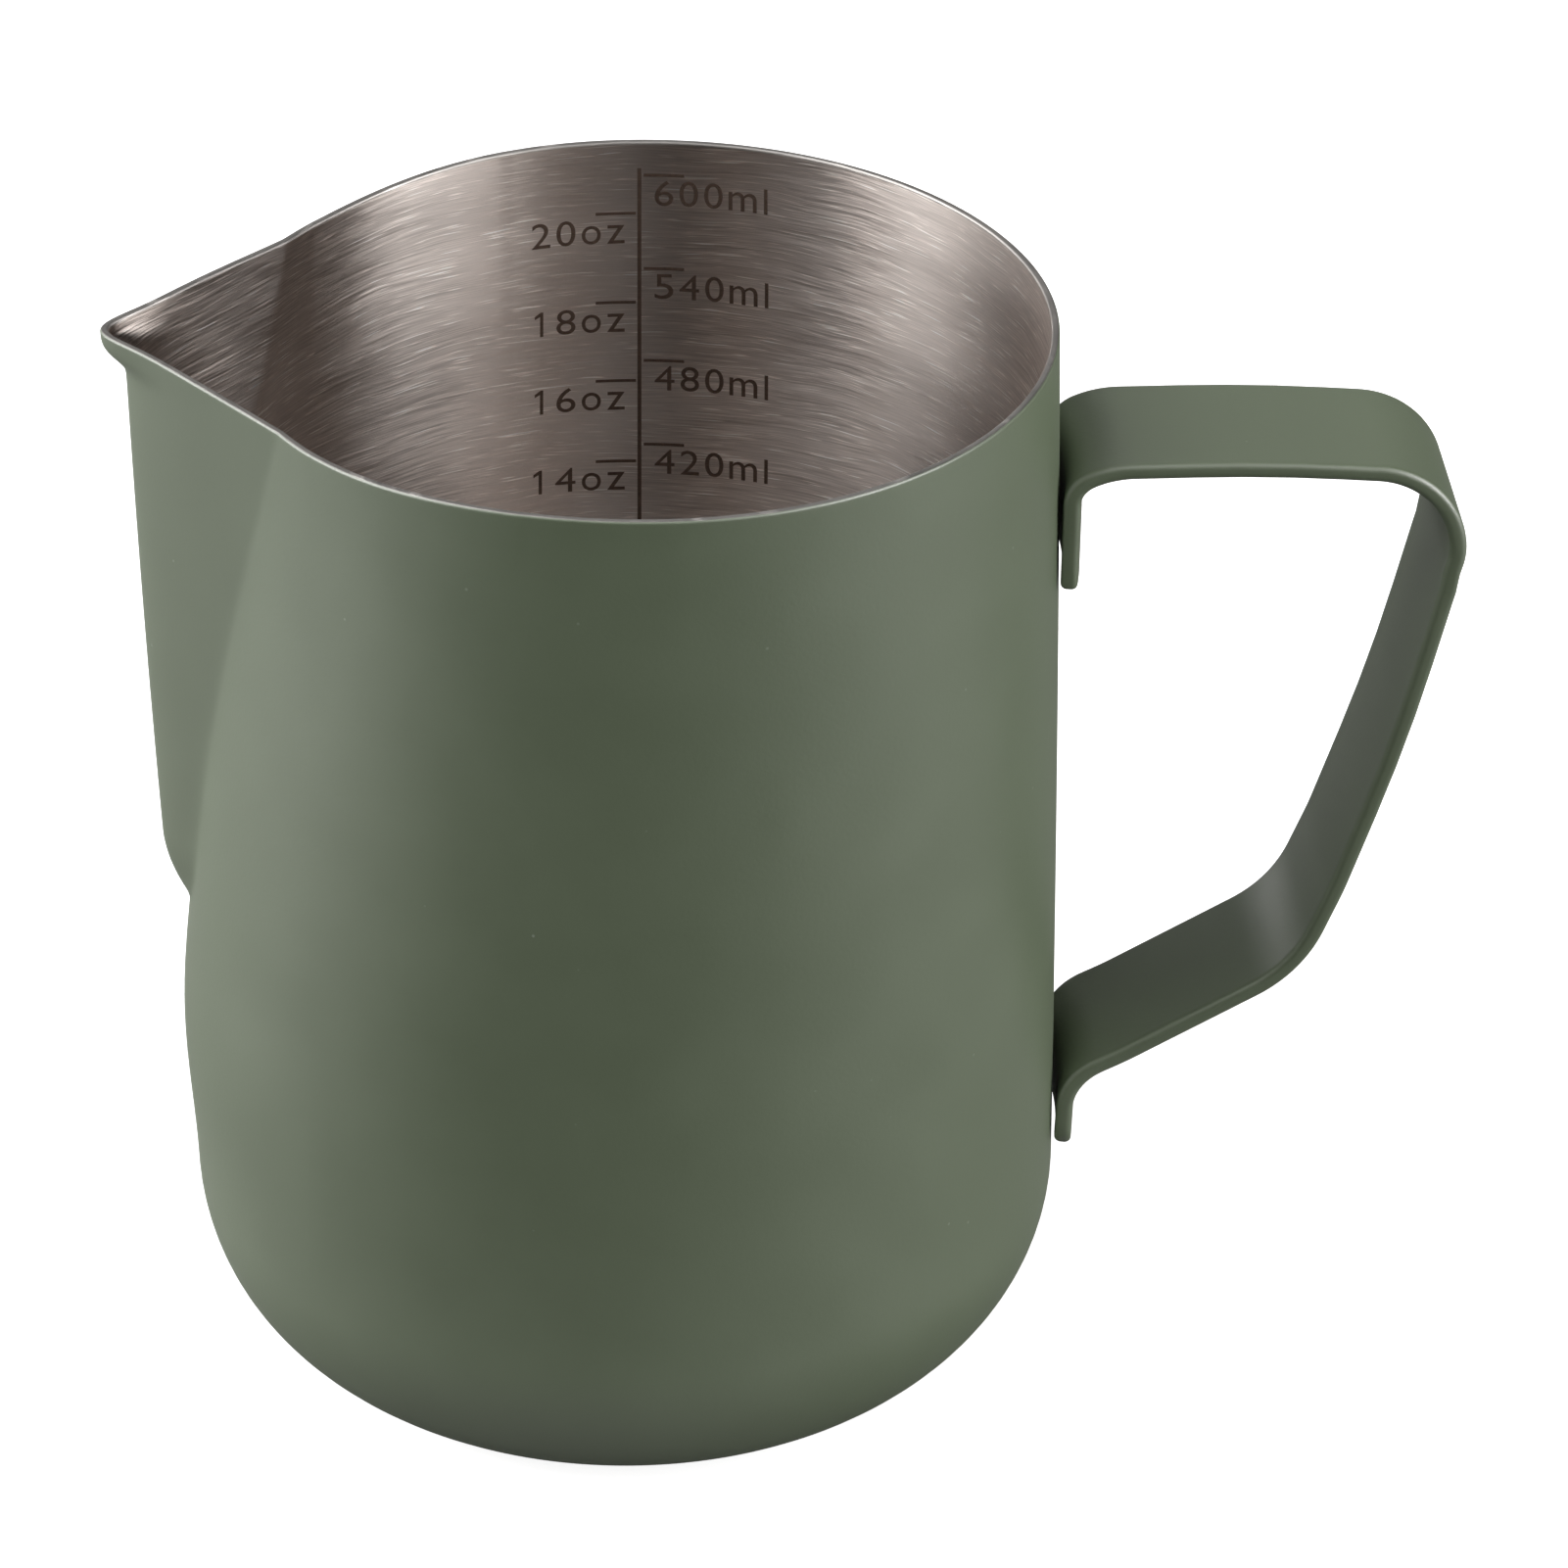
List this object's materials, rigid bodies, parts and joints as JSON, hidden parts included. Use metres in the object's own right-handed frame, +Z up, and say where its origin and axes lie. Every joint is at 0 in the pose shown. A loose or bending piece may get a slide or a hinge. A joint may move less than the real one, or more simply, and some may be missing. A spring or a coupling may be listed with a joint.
{
  "type": "milk frothing pitcher",
  "caption": "drawn steel jug with a pressed V spout, rounded base corner and a bent flat strip handle spot-welded to the wall by two tabs",
  "frame": {"origin": "centre of the flat base, on the plane the pitcher stands on", "axes": "+Z up out of the mouth, +X towards the handle, -X towards the spout, +Y to the left seen from the handle"},
  "size_m": [0.1339, 0.0892, 0.1152],
  "materials": {
    "body_coat": "fine-grained matt sage-green powder coat outside, bare circumferentially brushed steel inside and on the rim",
    "handle_coat": "the same matt sage-green powder coat",
    "weld": "dull fused steel"
  },
  "bodies": {
    "root": {"pitcher_body": "body_coat", "handle_strip": "handle_coat", "weld_upper_left": "weld", "weld_upper_right": "weld", "weld_lower_left": "weld", "weld_lower_right": "weld"}
  },
  "joints": []
}
